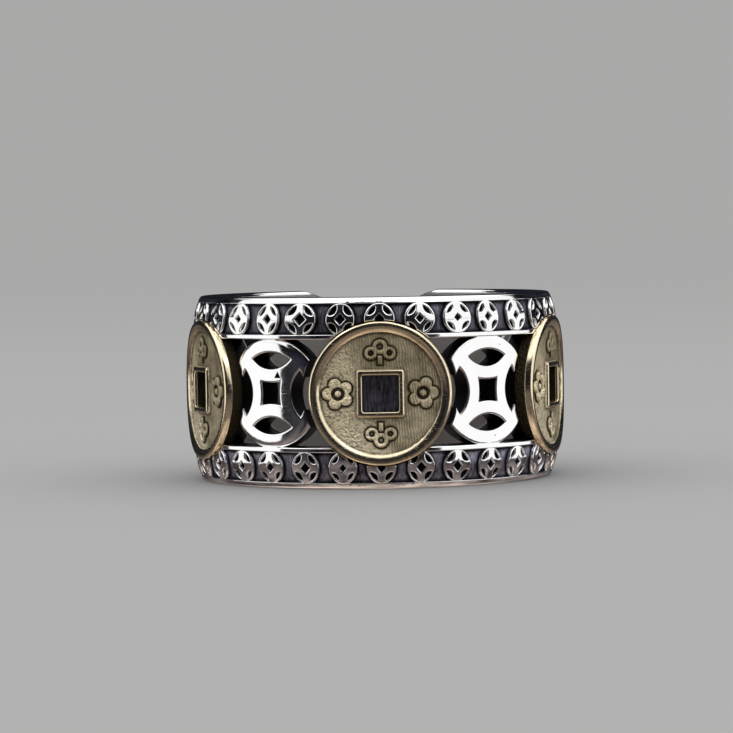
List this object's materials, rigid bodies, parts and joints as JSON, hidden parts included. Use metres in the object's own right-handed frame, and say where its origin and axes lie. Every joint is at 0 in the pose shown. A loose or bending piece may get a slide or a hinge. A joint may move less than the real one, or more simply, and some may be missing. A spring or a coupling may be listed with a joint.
{
  "type": "coin ring",
  "caption": "Open silver finger band with pierced cash-coin openwork between relief rails, and bent brass coins seated on its front and sides.",
  "frame": {"origin": "bottom centre of the ring's box, in the plane that the ring's lower edge rests on; the finger axis runs 0.2 mm behind it, because the front coin stands proud", "axes": "+Z along the finger axis, +Y from the front coin to the open back, +X towards the right coin"},
  "size_m": [0.0236, 0.0226, 0.0114],
  "materials": {
    "silver": "polished cast silver, oxidised dark in the recesses",
    "brass": "brushed brass field with polished rims and aged recesses"
  },
  "bodies": {
    "root": {"silver_band": "silver", "brass_coin_front": "brass", "brass_coin_left": "brass", "brass_coin_right": "brass"}
  },
  "joints": []
}
